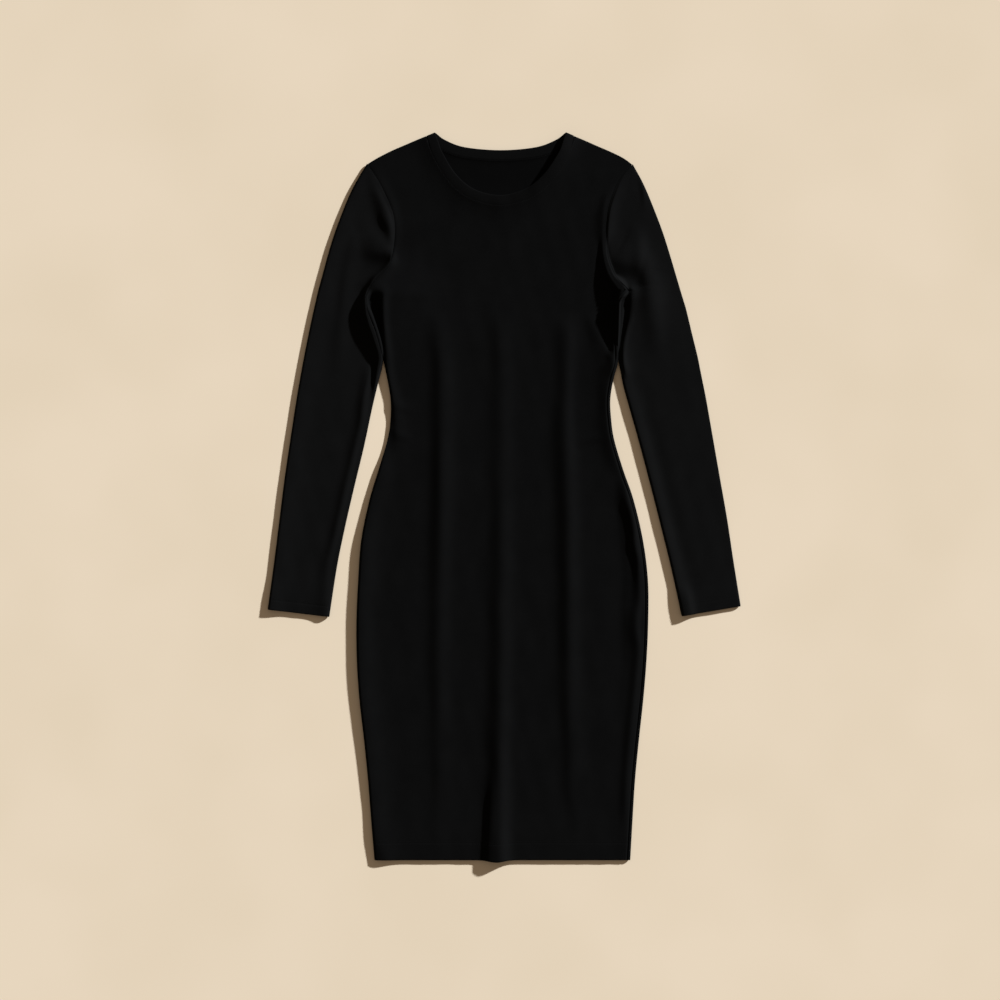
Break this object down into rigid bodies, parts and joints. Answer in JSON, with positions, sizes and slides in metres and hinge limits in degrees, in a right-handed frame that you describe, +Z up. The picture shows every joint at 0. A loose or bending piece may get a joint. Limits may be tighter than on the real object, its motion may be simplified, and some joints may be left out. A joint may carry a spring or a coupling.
{
  "type": "bodycon dress",
  "caption": "Long-sleeved, knee-length bodycon dress of black double knit with a round neckband, lying flat on its back.",
  "frame": {"origin": "middle of the dress's box, on the surface that it lies on", "axes": "+Z up from the surface to the front of the dress, +Y from hem to neck, +X to the right as seen from above"},
  "size_m": [0.6627, 1.0183, 0.0128],
  "materials": {
    "double_knit": "matt heavy double knit, near black",
    "neckband_knit": "the same knit, folded, pressed and topstitched"
  },
  "bodies": {
    "root": {"front_panel": "double_knit", "back_panel": "double_knit", "sleeve_left": "double_knit", "sleeve_right": "double_knit", "neckband": "neckband_knit"}
  },
  "joints": []
}
